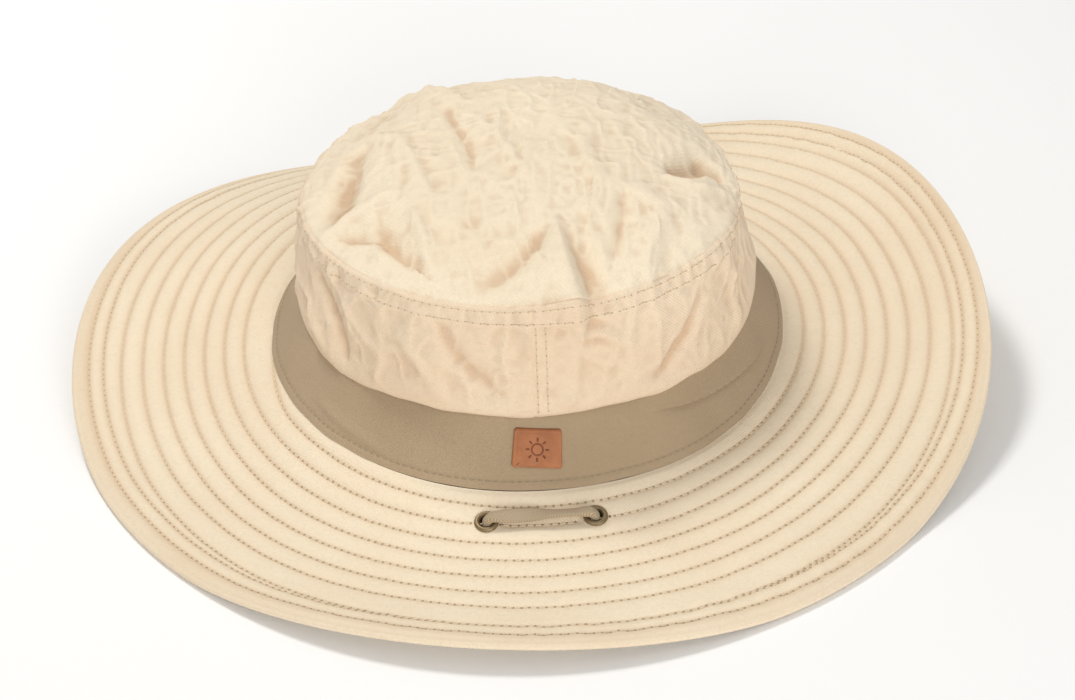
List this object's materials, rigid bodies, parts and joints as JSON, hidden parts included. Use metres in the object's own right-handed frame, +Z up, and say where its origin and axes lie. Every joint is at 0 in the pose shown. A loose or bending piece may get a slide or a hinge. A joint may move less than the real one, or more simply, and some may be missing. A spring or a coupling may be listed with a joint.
{
  "type": "boonie hat",
  "caption": "Wide-brim cotton sun hat with a quilted brim, a soft crumpled crown, a contrasting hatband and a chin cord through brass eyelets.",
  "frame": {"origin": "on the table the hat lies on, under the centre of the head opening", "axes": "+Z up out of the crown, -Y towards the side with the leather patch, +X to the right seen from that side"},
  "size_m": [0.3305, 0.3323, 0.098],
  "materials": {
    "cream_cloth": "matte plain-woven cotton",
    "khaki_cloth": "matte woven cotton tape",
    "khaki_cord": "flat braided cotton lace",
    "interlining_felt": "stiff non-woven felt",
    "tan_leather": "smooth tan leather with darker burnished edges",
    "antique_brass": "dull antique brass plating",
    "tie_tape": "plain cotton tape"
  },
  "bodies": {
    "hat": {"brim_underside": "cream_cloth", "brim_interlining": "interlining_felt", "brim_top": "cream_cloth", "hatband": "khaki_cloth", "sweatband": "khaki_cloth", "crown_side_left": "cream_cloth", "crown_side_right": "cream_cloth", "crown_tip": "cream_cloth", "leather_patch": "tan_leather", "near_left_eyelet": "antique_brass", "near_left_washer": "antique_brass", "near_right_eyelet": "antique_brass", "near_right_washer": "antique_brass", "far_left_eyelet": "antique_brass", "far_left_washer": "antique_brass", "far_right_eyelet": "antique_brass", "far_right_washer": "antique_brass", "chin_cord_near": "khaki_cord", "chin_cord_far": "khaki_cord", "chin_cord_coil": "khaki_cord", "chin_cord_tie": "tie_tape", "near_stop_knot": "khaki_cord", "far_stop_knot": "khaki_cord"},
    "slide": {"cord_slide": "tan_leather"}
  },
  "joints": [
    {"name": "cord_slide_travel", "type": "slide", "parent": "hat", "child": "slide", "axis": [-1, 0, 0], "range_m": [0, 0.026]}
  ]
}
